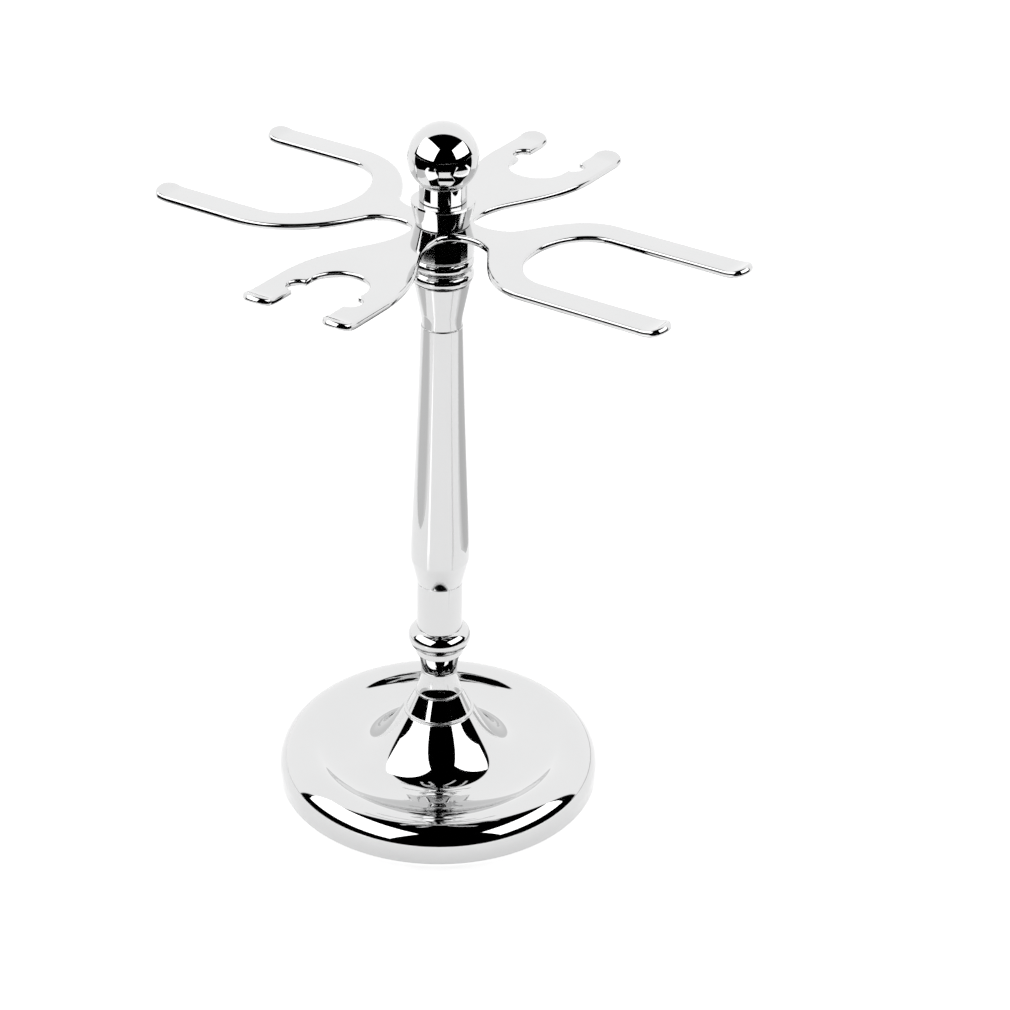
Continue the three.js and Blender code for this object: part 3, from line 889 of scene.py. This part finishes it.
# The chrome sees a round table that ends in a dark room. A black card close under the plate, seen only in
# the chrome, is a painted dark reflection in the clamp cup and the ball.
table_edge = 0.277
room_edge = 6.0
just_above_floor = 0.0004
black_unlit = glowing("black_unlit", (0, 0, 0), 0)
curved_card(
    "dark_room_floor", (table_edge, just_above_floor), (room_edge, just_above_floor), -100, 100, black_unlit,
)
# Painted dark reflection: a black card seen only in the chrome, where nothing real stands.
curved_card("dark_reflection_card", (0.028, 0.103), (0.028, 0.121), -25, 62, black_unlit)


def painted_floor_patch(name, azimuth, distance, half_across, half_along, radiance):
    """A soft-edged glowing patch of floor beside the stand, seen only in the chrome: painted shade where it
    is dimmer than the floor, a painted highlight where it is brighter.
    """
    material = glowing(name, (1, 1, 1), radiance)
    nodes, links = material.node_tree.nodes, material.node_tree.links
    fade = nodes.new("ShaderNodeTexGradient")
    fade.gradient_type = "SPHERICAL"
    place = nodes.new("ShaderNodeMapping")
    place.inputs["Location"].default_value = (-1, -1, 0)
    place.inputs["Scale"].default_value = (2, 2, 0)
    links.new(nodes.new("ShaderNodeTexCoord").outputs["Generated"], place.inputs["Vector"])
    links.new(place.outputs["Vector"], fade.inputs["Vector"])
    soften = nodes.new("ShaderNodeMapRange")
    soften.inputs["From Max"].default_value = 0.4
    links.new(fade.outputs["Fac"], soften.inputs["Value"])
    blend = nodes.new("ShaderNodeMixShader")
    links.new(soften.outputs["Result"], blend.inputs["Fac"])
    links.new(nodes.new("ShaderNodeBsdfTransparent").outputs["BSDF"], blend.inputs[1])
    links.new(nodes["Emission"].outputs["Emission"], blend.inputs[2])
    links.new(blend.outputs["Shader"], nodes["Material Output"].inputs["Surface"])
    out = around(azimuth)
    sideways = Vector((-out.y, out.x, 0))
    centre = out * distance + Vector((0, 0, 2 * just_above_floor))
    only_in_reflections(card(name, centre, out * half_along, sideways * half_across, material))


# Painted shade on the floor to both sides, a thin painted highlight on the left and a thin painted shade
# strip on the right, all seen only in the chrome.
painted_floor_patch("left_floor_shade", -90, 0.20, 0.11, 0.07, 0.78)
painted_floor_patch("right_floor_shade", 118, 0.18, 0.10, 0.08, 0.70)
painted_floor_patch("left_floor_painted_highlight", -44, 0.17, 0.010, 0.10, 1.75)
painted_floor_patch("right_floor_painted_shade_strip", 50, 0.17, 0.008, 0.10, 0.95)

world = bpy.data.worlds.new("studio")
bpy.context.scene.world = world
world.use_nodes = True
nodes, links = world.node_tree.nodes, world.node_tree.links
nodes["Background"].inputs["Color"].default_value = (1, 1, 1, 1)
heading = nodes.new("ShaderNodeTexCoord").outputs["Generated"]
toward = nodes.new("ShaderNodeVectorMath")
toward.operation = "DOT_PRODUCT"
toward.inputs[1].default_value = to_camera
links.new(heading, toward.inputs[0])
height = nodes.new("ShaderNodeSeparateXYZ")
links.new(heading, height.inputs["Vector"])
# The sweep's front edge leans from 106 degrees round at table height to 98 degrees overhead.
edge_at_table = math.cos(math.radians(106))
edge_overhead = math.cos(math.radians(98))
lean = nodes.new("ShaderNodeMath")
lean.operation = "MULTIPLY_ADD"
lean.inputs[1].default_value = edge_at_table - edge_overhead
lean.inputs[2].default_value = -edge_at_table
links.new(height.outputs["Z"], lean.inputs[0])
past_edge = nodes.new("ShaderNodeMath")
past_edge.operation = "ADD"
links.new(toward.outputs["Value"], past_edge.inputs[0])
links.new(lean.outputs["Value"], past_edge.inputs[1])
edge = nodes.new("ShaderNodeMapRange")
edge.inputs["From Min"].default_value = -0.01
edge.inputs["From Max"].default_value = 0.01
edge.inputs["To Min"].default_value = 1.27
edge.inputs["To Max"].default_value = 0.0
links.new(past_edge.outputs["Value"], edge.inputs["Value"])
ray = nodes.new("ShaderNodeLightPath")
backdrop = nodes.new("ShaderNodeMath")
backdrop.operation = "MAXIMUM"
links.new(edge.outputs["Result"], backdrop.inputs[0])
links.new(ray.outputs["Is Camera Ray"], backdrop.inputs[1])
links.new(backdrop.outputs["Value"], nodes["Background"].inputs["Strength"])
bpy.context.scene.view_settings.view_transform = "Standard"


# ---------- Camera ----------
# It stands half a metre in front, looks down on the plate, and is tilted and aimed slightly aside.
camera_rise = math.radians(29.21)
camera_distance = 0.5551
aim_aside = math.radians(1.597)
aim_down = camera_rise + math.radians(0.775)
tilt = math.radians(1.267)
camera_data = bpy.data.cameras.new("camera")
camera_data.sensor_width = 36
camera_data.lens = 95.2
camera = bpy.data.objects.new("camera", camera_data)
bpy.context.scene.collection.objects.link(camera)
place = to_camera * math.cos(camera_rise) + Vector((0, 0, math.sin(camera_rise)))
camera.matrix_world = (
    Matrix.Translation(Vector((0, 0, stand_height / 2)) + place * camera_distance)
    @ Matrix.Rotation(camera_heading + math.pi / 2 - aim_aside, 4, "Z")
    @ Matrix.Rotation(math.pi / 2 - aim_down, 4, "X")
    @ Matrix.Rotation(tilt, 4, "Z")
)
bpy.context.scene.camera = camera
